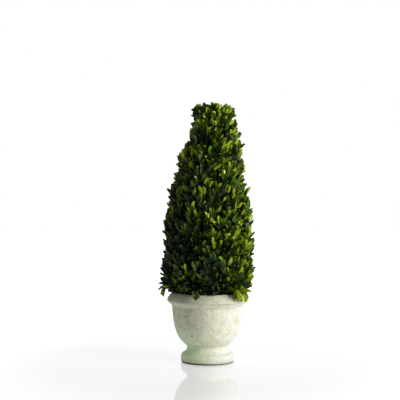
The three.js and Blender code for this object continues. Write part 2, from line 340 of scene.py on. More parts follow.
# olive stain on the rim, stronger on the left as painted shadow of the foliage
RIM_STAIN_AND_SHADOW = (0.55, 0.54, 0.29)
FRECKLE = (0.38, 0.36, 0.20)
PORE_DIRT = (0.34, 0.32, 0.18)
PIT_DARKENING = (0.33, 0.32, 0.17)

# Where a tone fades in or out: off the axis towards the right, or in height.
PAINTED_WHITE_SIDE = (0.005, 0.062)
SHADED_SIDE = (-0.042, 0.012)
PAINTED_BOUNCE_SIDE = (-0.012, 0.028)
FOOT_SHADOW_SIDE = (-0.020, 0.040)
RIM_SHADOW_SIDE = (0, 0.060)
FOOT_SHADOW_RISE = (0.0012, 0.0040)
ALGAE_RISE = (0.012, 0.080)
PAINTED_BOUNCE_RISE = (0.026, 0.036)
TURNED_RISE = (0.030, 0.044)
RIM_STAIN_RISE = (0.116, 0.120)

# Brown lines in the cement's edges and creases, partly dirt and partly painted shade under the rim
# and in the creases: height, reach up and down, strength.
EDGE_LINES = (
    # painted contact shadow at the foot's bottom edge
    (0.0006, 0.0014, 0.95),
    (0.1180, 0.0014, 0.80),
    (0.1090, 0.0022, 0.36),
    (0.0345, 0.0026, 0.55),
    (0.0178, 0.0012, 0.25),
    (0.0085, 0.0010, 0.35),
)


def cast_cement(finish, wash):
    """The cement as it was cast: an ivory wash with mottling, ochre flecks and faint runs."""
    mottle = finish.noise(115, detail=6, roughness=0.72, distortion=0.6)
    flecks = finish.spread(finish.noise(270, detail=3, roughness=0.6), 0.60, 0.70, 0, 0.5)
    runs = finish.noise(150, detail=3, stretch=(1, 1, 0.09))
    colour = finish.tinge(finish.ramp(wash, CEMENT_WASH), finish.ramp(mottle, CEMENT_MOTTLE))
    colour = finish.stain(colour, OCHRE_FLECK, flecks)
    return finish.tinge(colour, finish.ramp(runs, CEMENT_RUNS))


def weathering_and_painted_light(finish, colour):
    """Years outdoors with painted light: a painted highlight whitening the right, grey-green algae
    low on the left, painted bounce lightening the foot, dirt and painted shade in the creases, a
    painted contact shadow at the foot and a rim stain with painted foliage shadow.
    """
    clouds = finish.noise(66, detail=6, roughness=0.66, distortion=0.8)
    turned = finish.spread(finish.noise(210, detail=3, stretch=(0.12, 0.12, 1)), 0.42, 0.62, 0, 0.5)
    patches = finish.spread(finish.noise(28, detail=6, roughness=0.64), 0.36, 0.60, 0.4, 1)
    ragged = finish.spread(finish.noise(95, detail=4), 0.36, 0.6, 0.15, 1)
    rim_patches = finish.spread(finish.noise(38, detail=5), 0.3, 0.6, 0.2, 1)
    algae_height = finish.upward(ALGAE_RISE, 1.0, 0.12)
    algae_side = finish.across(SHADED_SIDE, 1.0, 0.10)
    painted_bounce = finish.mix(finish.across(PAINTED_BOUNCE_SIDE), PAINTED_BOUNCE_LEFT, PAINTED_BOUNCE_RIGHT)

    # painted highlight: whiter towards the lit right side
    colour = finish.stain(colour, LIT_SIDE_PAINTED_WHITE, finish.across(PAINTED_WHITE_SIDE, 0, 0.60))
    colour = finish.stain(colour, OCHRE_CLOUD, finish.spread(clouds, 0.48, 0.64), 0.80)
    colour = finish.stain(colour, TURNING_MARK, turned, finish.upward(TURNED_RISE, 1, 0.15))
    colour = finish.stain(colour, ALGAE, patches, algae_height, algae_side)
    # painted bounce light on the foot
    colour = finish.tinge(colour, painted_bounce, finish.upward(PAINTED_BOUNCE_RISE, 1, 0))
    # brown lines of dirt and painted shade in the edges and creases
    for middle, reach, strength in EDGE_LINES:
        colour = finish.stain(colour, CREASE_DIRT_AND_SHADE, finish.band(middle, reach), ragged, strength)
    # painted contact shadow along the foot's bottom edge
    foot_shadow = finish.upward(FOOT_SHADOW_RISE, 0.95, 0)
    colour = finish.stain(colour, FOOT_PAINTED_SHADOW, foot_shadow, finish.across(FOOT_SHADOW_SIDE, 1, 0.18))
    # olive stain on the rim with painted shadow of the foliage on its left
    rim_stain_and_shadow = finish.upward(RIM_STAIN_RISE, 0, 0.36)
    return finish.stain(colour, RIM_STAIN_AND_SHADOW, rim_stain_and_shadow, rim_patches, finish.across(RIM_SHADOW_SIDE, 1, 0.25))


def aged_cement_finish():
    """Whitewashed cast cement: chalky ivory with mottling, grey-green algae, painted light, brown
    creases with painted shade and pits darkened by their depth.
    """
    finish = Finish("aged_cement", roughness=0.85)
    wash = finish.noise(30, detail=4, roughness=0.55, distortion=0.3)
    colour = weathering_and_painted_light(finish, cast_cement(finish, wash))
    spots = finish.spread(finish.cells(62), 0.05, 0.17, 1, 0)
    chosen = finish.spread(finish.noise(45, detail=1), 0.52, 0.56)
    colour = finish.stain(colour, FRECKLE, spots, chosen, 0.5)
    grain = finish.noise(520, detail=4, roughness=0.75)
    colour = finish.tinge(colour, finish.ramp(grain, CEMENT_GRAIN))
    patchy = finish.spread(finish.noise(60, detail=2), 0.46, 0.6)
    pore = finish.math("MULTIPLY", finish.spread(finish.cells(230), 0.1, 0.26, 1, 0), patchy)
    colour = finish.stain(colour, PORE_DIRT, pore, 0.4)
    pit_darkening = finish.node("ShaderNodeAttribute", attribute_name="pit_darkening").outputs["Fac"]
    # pits darkened by their depth
    colour = finish.stain(colour, PIT_DARKENING, finish.spread(pit_darkening, 0.1, 0.8, 0, 0.75))
    relief = finish.math("SUBTRACT", finish.math("MULTIPLY", grain, 0.6), pore)
    finish.set("Base Color", colour)
    finish.set("Roughness", finish.spread(wash, 0.3, 0.7, 0.9, 0.7))
    finish.set("Specular IOR Level", 0.4)
    finish.bump(relief, 0.5, 0.0006)
    return finish.material


MIX_CRUMBS = {0.35: (0.012, 0.008, 0.005), 0.55: (0.05, 0.034, 0.02), 0.7: (0.12, 0.085, 0.05)}
# Bark in its cracks and between them, and the green film on it.
OLD_BARK = ((0.055, 0.042, 0.028), (0.20, 0.16, 0.11))
YOUNG_BARK = ((0.05, 0.06, 0.02), (0.14, 0.15, 0.05))
BARK_FILM = (0.10, 0.12, 0.05)
WAX_SPREAD = (-0.07, 0.10)  # how far a leaf's roughness varies over its blade


def planting_mix_finish():
    finish = Finish("planting_mix", roughness=1.0)
    crumbs = finish.noise(420, detail=5, roughness=0.7)
    finish.set("Base Color", finish.ramp(crumbs, MIX_CRUMBS))
    finish.bump(crumbs, 1.0, 0.002)
    return finish.material


def bark_finish(name, dark, light):
    """Fine bark with cracks along the limb."""
    finish = Finish(name, roughness=0.85)
    cracks = finish.noise(260, detail=5, roughness=0.65, stretch=(1, 1, 0.2))
    patches = finish.noise(70, detail=3)
    colour = finish.mix(finish.spread(cracks, 0.35, 0.65), dark, light)
    colour = finish.stain(colour, BARK_FILM, finish.spread(patches, 0.5, 0.7, 0, 0.4))
    finish.set("Base Color", colour)
    finish.bump(cracks, 0.7, 0.0008)
    return finish.material


def leaf_finish(name, colour, roughness, gloss):
    """A leathery leaf: plain colour for its spray, with a gloss that varies over the blade."""
    finish = Finish(name, colour, roughness)
    wax = finish.noise(300, detail=2)
    smoothest, roughest = (roughness + change for change in WAX_SPREAD)
    finish.set("Roughness", finish.spread(wax, 0.3, 0.7, smoothest, roughest))
    finish.set("Specular IOR Level", gloss)
    return finish.material


# A colour that sprays come in: its upper side, its share, its back, its gloss and the colour
# that old leaves of it have.
Tint = namedtuple("Tint", "colour share back gloss ages_to")
LEAF_TINTS = {
    "shade": Tint((0.008, 0.015, 0.010), 0.06, "shade", 0.25, "shade"),
    "deep": Tint((0.018, 0.035, 0.018), 0.20, "green", 0.25, "shade"),
    "bottle": Tint((0.039, 0.070, 0.024), 0.14, "green", 0.25, "shade"),
    "moss": Tint((0.054, 0.098, 0.007), 0.13, "green", 0.18, "deep"),
    "mid": Tint((0.110, 0.198, 0.006), 0.14, "green", 0.15, "bottle"),
    "spring": Tint((0.095, 0.300, 0.012), 0.07, "green", 0.20, "moss"),
    "olive": Tint((0.265, 0.360, 0.007), 0.10, "yellow_painted_glow", 0.30, "mid"),
    "fresh": Tint((0.360, 0.590, 0.014), 0.09, "yellow_painted_glow", 0.38, "spring"),
    "gold": Tint((0.800, 0.850, 0.080), 0.07, "yellow_painted_glow", 0.40, "olive"),
    # painted sheen: a grey-green tint for leaves on the shaded side
    "sage": Tint((0.115, 0.240, 0.085), 0.00, "sage", 0.25, "bottle"),
}
LEAF_BACKS = {
    "shade": (0.012, 0.024, 0.014),
    "green": (0.075, 0.132, 0.012),
    # a paler underside, partly painted glow of light shining through the leaf
    "yellow_painted_glow": (0.310, 0.420, 0.012),
    # its back, with the same painted sheen
    "sage": (0.120, 0.190, 0.070),
}
TINT_NAMES = list(LEAF_TINTS)
BACK_NAMES = list(LEAF_BACKS)
LEAF_ROUGHNESS = 0.26
BACK_ROUGHNESS = 0.62
BACK_GLOSS = 0.2


def leaf_materials():
    """One for the upper side of each colour, then one for each kind of back."""
    return [
        leaf_finish(f"{name}_leaf", tint.colour, LEAF_ROUGHNESS, tint.gloss)
        for name, tint in LEAF_TINTS.items()
    ] + [
        leaf_finish(f"{name}_leaf_back", colour, BACK_ROUGHNESS, BACK_GLOSS)
        for name, colour in LEAF_BACKS.items()
    ]


# ---- Mesh helpers ----

SHARP_ABOVE = 60  # degrees between faces
SAME_POINT = 1e-6


def add_piece(name, mesh_data, materials, replaced=()):
    """A mesh as a smooth piece that rides on the body."""
    for material in materials:
        mesh_data.materials.append(material)
    mesh_data.shade_smooth()
    mesh_data.set_sharp_from_angle(angle=math.radians(SHARP_ABOVE))
    piece = new_object(name, mesh_data)
    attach(piece, BODY)
    if replaced:
        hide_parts(*replaced)


def mesh_of(form, name):
    mesh_data = bpy.data.meshes.new(name)
    form.to_mesh(mesh_data)
    form.free()
    return mesh_data


def finish_piece(form, name, material, replaced=()):
    """Turns a bmesh into such a piece."""
    add_piece(name, mesh_of(form, name), [material], replaced)


def tree_of(points):
    tree = KDTree(len(points))
    for index, point in enumerate(points):
        tree.insert(point, index)
    tree.balance()
    return tree


def bend(start, pull, end, steps):
    """Points along a curve from start to end that leans towards pull, without the start."""
    points = []
    for step in range(1, steps + 1):
        t = step / steps
        share = ((1 - t) ** 2, 2 * t * (1 - t), t * t)
        axes = zip(start, pull, end)
        points.append(tuple(sum(w * c for w, c in zip(share, axis)) for axis in axes))
    return points


def smooth(value):
    held = min(max(value, 0.0), 1.0)
    return held * held * (3 - 2 * held)


def between(first, second, share):
    return first + (second - first) * share


# ---- Urn ----

PROFILE_STEP = 0.0014
BOWL_STEPS = 70
BOWL_PULLS = ((0.0428, 0.0385), (0.0664, 0.0385))  # radius and height that the bowl leans to
URN_SPIN_STEPS = 300
# Unevenness of the cast surface: waves to the metre, shift of the pattern and depth.
CAST_WAVES = ((16, 0, 0.0006), (55, 1, 0.00028), (170, 0, 0.00013), (420, 0, 0.00006))
RIM_WAVE = (24, 3, 0.0005)
RIM_BOTTOM = 0.112
FLAT_FOOT = (0.001, 0.004)  # no unevenness up to the first, and all of it this far above that
PITTED = (0.038, 0.004)  # only outside this radius and above this height
PIT_COUNT = 90
PIT_RADIUS = (0.0010, 0.0030)
PIT_DEPTH = 0.00055
PIT_DEPTH_SHARE = (0.4, 1.0)
DARKEST_PIT_DEPTH = 0.0011  # a chip this deep is darkened fully
# Larger chips: azimuth round from the front in degrees, height, radius and depth in metres.
CHIPS = (
    (-37, 0.0925, 0.0036, 0.0011),
    (-29, 0.0485, 0.0042, 0.0012),
    (-12, 0.0700, 0.0018, 0.0008),
    (3, 0.0715, 0.0020, 0.0006),
    (38, 0.0520, 0.0022, 0.0007),
    (31, 0.0220, 0.0022, 0.0007),
    (118, 0.0810, 0.0026, 0.0010),
    (164, 0.0570, 0.0032, 0.0012),
    (-142, 0.0960, 0.0024, 0.0009),
    (-96, 0.0640, 0.0027, 0.0010),
)


def urn_outline():
    """Stretches of the outline, each a pull, if it bends, and an end, in radius and height."""
    rim = RIM_RADIUS - 0.0117
    return [
        (None, (0.0484, 0)),
        (None, (0.0503, 0.0016)),
        ((0.0519, 0.0026), (0.0520, 0.0090)),  # foot
        ((0.0520, 0.0150), (0.0484, 0.0176)),
        (None, (0.0478, 0.0178)),
        ((0.0412, 0.0215), (0.0398, 0.0272)),  # neck
        (None, (0.0398, 0.0300)),
        (BOWL_PULLS, (RIM_RADIUS - 0.0098, 0.1085)),
        ((0.0700, 0.1098), (0.0778, 0.1178)),
        ((0.0791, 0.1186), (RIM_RADIUS, 0.1200)),  # rolled rim
        ((0.0782, 0.1262), (rim + 0.002, RIM_TOP - 0.0012)),
        ((rim, RIM_TOP), (rim - 0.002, RIM_TOP)),
        ((0.0620, RIM_TOP), (0.0615, 0.1325)),  # mouth
        (None, (0.0605, 0.1070)),
        ((0.0590, 0.0480), (0.0340, 0.0440)),  # cavity
        (None, (0, 0.0440)),
    ]


def urn_profile():
    """Evenly stepped points of the outline, from the axis under the foot to the cavity floor."""
    points = [(0.0, 0.0)]
    start = points[0]
    for pull, end in urn_outline():
        if pull is BOWL_PULLS:
            corners = [Vector((r, 0, z)) for r, z in (start, *BOWL_PULLS, end)]
            points += [(p.x, p.z) for p in interpolate_bezier(*corners, BOWL_STEPS)[1:]]
        else:
            length = math.dist(start, pull or end) + (math.dist(pull, end) if pull else 0)
            middle = pull or tuple((a + b) / 2 for a, b in zip(start, end))
            points += bend(start, middle, end, max(1, round(length / PROFILE_STEP)))
        start = end
    return points


def urn_relief(point):
    """How far the cast surface stands off its true outline at a point."""
    waves = CAST_WAVES + ((RIM_WAVE,) if point.z > RIM_BOTTOM else ())
    relief = sum(noise.noise(point * scale + UP * shift) * depth for scale, shift, depth in waves)
    flat, fade = FLAT_FOOT
    return relief * min(max((point.z - flat) / fade, 0), 1)


def press_pits(form, rng):
    """Casting pits and chips pressed into the outside, their colour darkened by their depth."""
    pit_darkening = form.verts.layers.float.new("pit_darkening")
    radius_from, height_from = PITTED
    outside = [v for v in form.verts if v.co.to_2d().length > radius_from and v.co.z > height_from]
    tree = tree_of([vert.co for vert in outside])
    pits = []
    for _ in range(PIT_COUNT):
        radius = rng.uniform(*PIT_RADIUS)
        depth = PIT_DEPTH * rng.uniform(*PIT_DEPTH_SHARE) * (radius / PIT_RADIUS[1])
        pits.append((rng.choice(outside).co.copy(), radius, depth))
    for azimuth, height, radius, depth in CHIPS:
        turn = math.radians(azimuth)
        aimed = Vector((math.sin(turn) * RIM_RADIUS, -math.cos(turn) * RIM_RADIUS, height))
        pits.append((tree.find(aimed)[0], radius, depth))
    normals = [vert.normal.copy() for vert in outside]
    for centre, radius, depth in pits:
        for _, index, distance in tree.find_range(centre, radius):
            fall = (1 - (distance / radius) ** 2) ** 2
            outside[index].co -= normals[index] * depth * fall
            outside[index][pit_darkening] = max(outside[index][pit_darkening], fall * depth / DARKEST_PIT_DEPTH)


def make_urn(material):
    form = bmesh.new()
    verts = [form.verts.new((radius, 0, height)) for radius, height in urn_profile()]
    edges = [form.edges.new(pair) for pair in zip(verts, verts[1:])]
    bmesh.ops.spin(
        form,
        geom=verts + edges,
        cent=(0, 0, 0),
        axis=(0, 0, 1),
        angle=2 * math.pi,
        steps=URN_SPIN_STEPS,
        use_merge=True,
        use_duplicate=False,
    )
    bmesh.ops.remove_doubles(form, verts=form.verts, dist=SAME_POINT)
    bmesh.ops.recalc_face_normals(form, faces=form.faces)
    form.normal_update()
    moves = [vert.normal * urn_relief(vert.co) for vert in form.verts]
    for vert, move in zip(form.verts, moves):
        vert.co += move
    form.normal_update()
    press_pits(form, random.Random(SEED + 1))
    finish_piece(form, "cast_cement_urn", material, ["urn"])


# ---- Stem, boughs and twigs ----

STEM_CUTS = 2
STEM_FLAT = 0.001  # its cut stays flat up to this height above its foot
BARK_GRAIN = (5, 60)  # waves of the bark round the stem, and to the metre along it
BARK_RIDGE = 0.0005
LEAN_CURVE = 1.7  # how late the plant's middle line leans towards the head
LEADER_RADIUS = (0.0038, 0.0012)
LEADER_POINTS = 26
LEADER_ROOT = 0.02  # starts this far below the stem's top
LEADER_SIDE = 0.0035  # and this far to the right of the stem's middle
LEADER_WANDER = (14, 0.004)  # bends to the metre, and their size
BOUGH_COUNT = 90
BOUGH_ENDS = (0.006, 0.004)  # above the rim, and below the cone's top
BOUGH_CROWDING = 1.25  # over 1, boughs stand closer low down
BOUGH_TURN_SCATTER = 0.25
BOUGH_REACH = 0.58  # of the way from the middle line to the clipped face
BOUGH_STEEPNESS = 0.75  # rise of a bough for its outward run
BOUGH_ARCH = 0.18  # of its run
BOUGH_LOWEST = 0.016  # above the stem's foot
BOUGH_RADIUS = (0.0021, 0.0009)
BOUGH_POINTS = 8
BOUGH_LEAN = (0.7, 0.5)
BOUGH_BARE = 2  # points at its foot that bear no twigs
LIMB_SIDES = 8
FACE_SEARCH = (0.02, 0.2)  # off the middle line, where the clipped face is looked for
NO_FACE_RUN = 0.03
TWIG_RADIUS = (0.0009, 0.0005)
TWIG_POINTS = 4
TWIG_SIDES = 4
TWIG_ROOT = (0.012, 0.008)  # it springs from the limb nearest to this far in and down
TWIG_SAG = 0.002
TWIG_LEAD = 0.4
GOLDEN_TURN = math.pi * (3 - math.sqrt(5))


def middle_at(height):
    """The plant's middle line, which leans towards the head."""
    climb = min(max((height - RIM_TOP) / (cone_high.z - RIM_TOP), 0), 1)
    return Vector((HEAD_MIDDLE.x * climb**LEAN_CURVE, 0, height))


def solid_of(*nodes):
    """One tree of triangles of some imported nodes, to measure against."""
    corners, faces = [], []
    for node in nodes:
        mesh_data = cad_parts[node].data
        first = len(corners)
        corners += [v.co.copy() for v in mesh_data.vertices]
        faces += [[first + i for i in face.vertices] for face in mesh_data.polygons]
    return BVHTree.FromPolygons(corners, faces)


def make_stem(material):
    """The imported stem, merged and cut finer, with lengthwise bark ridges."""
    form = bmesh.new()
    form.from_mesh(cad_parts["stem"].data)
    bmesh.ops.remove_doubles(form, verts=form.verts, dist=SAME_POINT)
    for _ in range(STEM_CUTS):
        bmesh.ops.subdivide_edges(form, edges=form.edges, cuts=1, use_grid_fill=True)
        soft = [v for v in form.verts if v.co.z > stem_low.z + STEM_FLAT]
        bmesh.ops.smooth_vert(
            form, verts=soft, factor=0.5, use_axis_x=True, use_axis_y=True, use_axis_z=True
        )
    form.normal_update()
    round_it, along_it = BARK_GRAIN
    for vert in form.verts:
        level = vert.normal.to_2d()
        around = level.normalized() if level.length else Vector((1, 0))
        grain = Vector((around.x * round_it, around.y * round_it, vert.co.z * along_it))
        vert.co += Vector((around.x, around.y, 0)) * noise.noise(grain) * BARK_RIDGE
    finish_piece(form, "stem_bark", material, ["stem"])


def limbs_piece(name, limbs, sides, bark):
    """Joins tapering limbs, each a list of (point, radius), into one mesh of round tubes."""
    path = bpy.data.curves.new(name, "CURVE")
    path.dimensions = "3D"
    path.bevel_depth = 1
    path.bevel_resolution = sides // 2 - 2
    path.use_fill_caps = True
    for limb in limbs:
        spline = path.splines.new("POLY")
        spline.points.add(len(limb) - 1)
        for point, (place, radius) in zip(spline.points, limb):
            point.co = (*place, 1)
            point.radius = radius
    drawn = new_object(name, path)
    graph = bpy.context.evaluated_depsgraph_get()
    mesh_data = bpy.data.meshes.new_from_object(drawn.evaluated_get(graph))
    bpy.data.objects.remove(drawn)
    bpy.data.curves.remove(path)
    mesh_data.materials.clear()
    mesh_data.name = name
    add_piece(name, mesh_data, [bark])


def tapered(points, radii):
    last = len(points) - 1
    return [(point, between(*radii, index / last)) for index, point in enumerate(points)]


def arc(start, pull, end, lean, count):
    """Points along a curve from start to end, which leans towards pull by a share at each end."""
    leave, arrive = start.lerp(pull, lean[0]), end.lerp(pull, lean[1])
    return [Vector(point) for point in interpolate_bezier(start, leave, arrive, end, count)]


def grow_leader():
    """The leader, from inside the stem up to the head."""
    noise.seed_set(SEED)  # vector noise draws its shifts from the clock otherwise
    start, end = stem_high.z - LEADER_ROOT, HEAD_MIDDLE.z
    stem_middle = (stem_low + stem_high) / 2
    bends, size = LEADER_WANDER
    points = []
    for step in range(LEADER_POINTS + 1):
        climb = step / LEADER_POINTS
        height = between(start, end, climb)
        wander = noise.noise_vector(Vector((0, 0, height * bends))) * size * smooth(climb * 3)
        beside = Vector((stem_middle.x + LEADER_SIDE, stem_middle.y, height))
        points.append(beside.lerp(middle_at(height), smooth(climb * 2)) + wander.to_2d().to_3d())
    return tapered(points, LEADER_RADIUS)


def grow_boughs(face, rng):
    """Boughs round the leader by the golden turn, each part of the way to the clipped face."""
    above_rim, below_top = BOUGH_ENDS
    low, high = RIM_TOP + above_rim, cone_high.z - below_top
    search_from, search_reach = FACE_SEARCH
    boughs = []
    for index in range(BOUGH_COUNT):
        share = (index + 0.5) / BOUGH_COUNT
        height = between(low, high, share**BOUGH_CROWDING)
        turn = index * GOLDEN_TURN + rng.uniform(-BOUGH_TURN_SCATTER, BOUGH_TURN_SCATTER)
        out = Vector((math.cos(turn), math.sin(turn), 0))
        middle = middle_at(height)
        hit = face.ray_cast(middle + out * search_from, out, search_reach)[0]
        run = ((hit - middle).length if hit else NO_FACE_RUN) * BOUGH_REACH
        end = middle + out * run
        foot = middle_at(max(height - run * BOUGH_STEEPNESS, stem_low.z + BOUGH_LOWEST))
        pull = foot.lerp(end, 0.5) + out * run * BOUGH_ARCH
        boughs.append(tapered(arc(foot, pull, end, BOUGH_LEAN, BOUGH_POINTS), BOUGH_RADIUS))
    return boughs


def twig_to(path, limb_tree):
    """A twig from the nearest limb below and inside a shoot's foot to the shoot's tip."""
    foot = path[0]
    inward, down = TWIG_ROOT
    start = limb_tree.find(foot - level_out(foot) * inward - UP * down)[0]
    leave = start.lerp(foot, 0.5) - UP * TWIG_SAG
    arrive = foot - (path[1] - foot) * TWIG_LEAD
    joined = [Vector(p) for p in interpolate_bezier(start, leave, arrive, foot, TWIG_POINTS)]
    return tapered(joined[:-1] + path, TWIG_RADIUS)


# ---- Foliage ----

MOST_LEAVES = 5400  # in one piece
TRIES_PER_PLACE = 14
OFF_FACE = 1e-5
CONTACT_DEPTH = 0.006  # a face this close to a neighbour carries no leaves
CONE_SPACING = 0.0136
HEAD_SPACING = 0.0110
HEAD_LOOSENESS = 0.35
LINING_SPACING = 0.0100  # shaded shoots behind the outer ones
LINING_DEPTH = 0.019
CONE_OVERREACH = 0.0055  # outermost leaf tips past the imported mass
HEAD_OVERREACH = 0.0070
CLIP_DROP = 0.006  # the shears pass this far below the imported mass's top
URN_CLEARANCE = 1.05  # of a leaf's length

SHOOT_LENGTH = (0.032, 0.048)
SHOOT_POINTS = 6
SHOOT_LEAN = (0.66, 0.66)
SHOOT_FOOT = (0.8, 0.25)  # out and up, the way a shoot starts
FOOT_SHARE = 0.45  # of a shoot's length that runs that way
LEAF_PAST_TIP = 0.0080
DEPTH_SCATTER = 0.0150
DEPTH_CROWDING = 1.6  # over 1, more shoots stand near the outside
TUFT_SCALE = 34  # one over the size of a tuft, in metres
TUFT_SHIFT = UP * 53.43
TUFT_DEPTH = 0.026
SKIRT_RISE = -12  # degrees above level at the skirt
SKIRT_DEPTH = 0.05
SIDE_RISE = 67
SHOULDER_RISE = 73
HEAD_RISE = (26, 58)  # from the head's foot to its top
HEAD_SPLAY = (0.03, 26)  # within this far of the head's middle, up to this much steeper
HEAD_FLAT = 0.006  # below the head's top, where its rise is full
RISE_SCATTER = 13
TURN_SCATTER = 17

SPRAY_KEEPS_TINT = 0.42  # share of a spray's leaves in the spray's own colour
FRESH_PAIRS = 2  # pairs at the tip of a shoot that keep their full colour
PATCH_SCALE = 24  # one over the size of a patch of fresh growth, in metres
PATCH_SHIFT = UP * 489.09
PATCH_FRESHNESS = 0.9
# fresher growth high up, partly painted light from above
CLIMB_FRESHNESS_AND_LIGHT = 2.0
FRESH_FROM = 0.42  # of the way up
# Painted light on either side at the rim: brighter tints on the lit right, darker on the shaded
# left but brighter high up there, and how it changes with the climb and its square.
LIT_SIDE_PAINTED_LIGHT = (2.5, -1.6, 0)
SHADED_SIDE_PAINTED_LIGHT = (0.7, -0.6, -3.6)
# painted sheen: these tints turn grey-green on the shaded side, as the white wall's reflection
# would make them
PAINTED_SHEEN_FOR = ("moss", "mid", "spring", "olive")  # on the shaded side
PAINTED_SHEEN_SHARE = 1.8
THIN_SPOT = Vector((-0.046, -0.077, 0.207))  # a sparse, shaded spot low at the front left
THIN_REACH = 0.040
THIN_DEPTH = 0.014
THIN_SHADE = 2.6

PAIR_SPACING = (0.0064, 0.0090)
# Down the shoot from its tip: degrees off the shoot, and share of the full leaf length.
LEAF_PAIRS = ((9, 0.9), (14, 1.0), (20, 1.0), (26, 0.95), (32, 0.9), (38, 0.85))
LEAF_LENGTH = (0.0165, 0.0280)
LENGTH_SCATTER = (0.88, 1.1)
LEAF_WIDTH_SHARE = (0.31, 0.49)
LEAF_REACH = 0.975  # its outline would close a little past its tip
LEAF_WIDEST = 1.15  # over 1, the blade is widest past its middle
LEAF_FULLNESS = 2.2
LEAF_SHOULDER = 0.4
LEAF_STATIONS = (0.0, 0.16, 0.42, 0.72, 0.92, 1.0)
LEAF_THICKNESS = 0.022  # of the length, along the midrib
LEAF_JOIN = 1e-4  # points of a unit leaf this close are one
ROLL_SCATTER = 48
ANGLE_SCATTER = 7
PAIR_TURN_SCATTER = 0.18

# Leaf shapes: rise of the edges for their width, sag along the blade, droop of the tip.
LEAF_HABITS = (
    {"fold": 0.75, "sag": 0.10, "droop": 0.02},
    {"fold": 1.00, "sag": -0.08, "droop": 0.14},
    {"fold": -0.55, "sag": 0.13, "droop": -0.08},
    {"fold": 0.80, "sag": -0.13, "droop": 0.24},
)

# Colour and leaf pairs of each sprig that hangs over the rim.
SPRIGS = {
    "sprig_front": ("bottle", ((10, 0.68), (18, 0.73), (26, 0.78), (30, 0.82))),
    "sprig_front_right": ("olive", ((10, 0.85), (20, 0.95), (28, 0.95), (34, 0.9))),
    "sprig_left": ("bottle", ((10, 0.6), (18, 0.65), (24, 0.7), (30, 0.7))),
}
SPRIG_KEEPS_TINT = 0.9
SPRIG_LEAN = (0.8, 0.6)
SPRIG_LEAF_DROP = 0.015  # how far the last leaves of a sprig hang below its shoots
SPRIG_SHOOT_SPACING = 0.0075
SPRIG_WIDTH_SHARE = 0.8
SPRIG_FOOT = (0.004, 0.024)  # above the sprig's top, and inside it
SPRIG_FOOT_SHARE = 0.6  # of the width at the tips
SPRIG_TIP_OUT = 0.002
SPRIG_TIP_SCATTER = (0, 0.004)
SECOND_ROW = (0.009, 0.008)  # further in, and higher


def leafy_places(node, spacing, neighbours, seed):
    """Places and normals scattered evenly over the open faces of a packed mass."""
    generator = np.random.default_rng(seed)
    mesh_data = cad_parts[node].data
    corners = np.array([[mesh_data.vertices[i].co for i in f.vertices] for f in mesh_data.polygons])
    cross = np.cross(corners[:, 1] - corners[:, 0], corners[:, 2] - corners[:, 0])
    area = np.linalg.norm(cross, axis=1) / 2
    tries = int(TRIES_PER_PLACE * area.sum() / spacing**2)
    picked = generator.choice(len(area), tries, p=area / area.sum())
    u, v = generator.random((2, tries))
    over = u + v > 1
    u[over], v[over] = 1 - u[over], 1 - v[over]
    first, second, third = corners[picked].transpose(1, 0, 2)
    points = first + u[:, None] * (second - first) + v[:, None] * (third - first)
    normals = cross[picked] / (2 * area[picked, None])
    kept = np.empty((0, 3))
    places = []
    for point, normal in zip(points, normals):
        if len(kept) and np.min(np.sum((kept - point) ** 2, axis=1)) < spacing**2:
            continue
        away = Vector(normal)
        if neighbours.ray_cast(Vector(point) + away * OFF_FACE, away, CONTACT_DEPTH)[0]:
            continue
        kept = np.vstack([kept, point])
        places.append((Vector(point), away))
    return places


def stand_off(skin, point):
    """How far a point stands outside a skin, less than 0 inside it."""
    nearest, normal, _, distance = skin.find_nearest(point)
    return math.copysign(distance, (point - nearest).dot(normal))


def level_out(place):
    """The level direction from the plant's middle line out to a place."""
    out = place - middle_at(place.z)
    out.z = 0
    return out.normalized()


def heading(out, turn, rise):
    """A direction turned from out by turn and lifted by rise, in degrees."""
    level = Quaternion(UP, math.radians(turn)) @ out
    return level * math.cos(math.radians(rise)) + UP * math.sin(math.radians(rise))


def cone_rise(place):
    skirt = smooth((place.z - RIM_TOP) / SKIRT_DEPTH)
    climb = smooth((place.z - RIM_TOP) / (cone_high.z - RIM_TOP))
    return between(SKIRT_RISE, between(SIDE_RISE, SHOULDER_RISE, climb), skirt)


def head_rise(place):
    climb = smooth((place.z - head_low.z) / (head_high.z - HEAD_FLAT - head_low.z))
    reach, steeper = HEAD_SPLAY
    middle = 1 - min((place - HEAD_MIDDLE).to_2d().length / reach, 1)
    return between(*HEAD_RISE, climb) + steeper * middle * climb


def grow_shoot(place, rise, rng):
    """A shoot's path from its foot inside the mass to its tip at a place on its skin."""
    out = level_out(place)
    aimed = heading(out, rng.gauss(0, TURN_SCATTER), rise + rng.gauss(0, RISE_SCATTER))
    tip = place - aimed * LEAF_PAST_TIP
    length = rng.uniform(*SHOOT_LENGTH)
    outward, upward = SHOOT_FOOT
    inward = (out * outward + UP * upward).lerp(aimed, FOOT_SHARE).normalized()
    foot = tip - (aimed * (1 - FOOT_SHARE) + inward * FOOT_SHARE) * length
    pull = tip - aimed * length * 0.5
    return arc(foot, pull, tip, SHOOT_LEAN, SHOOT_POINTS)


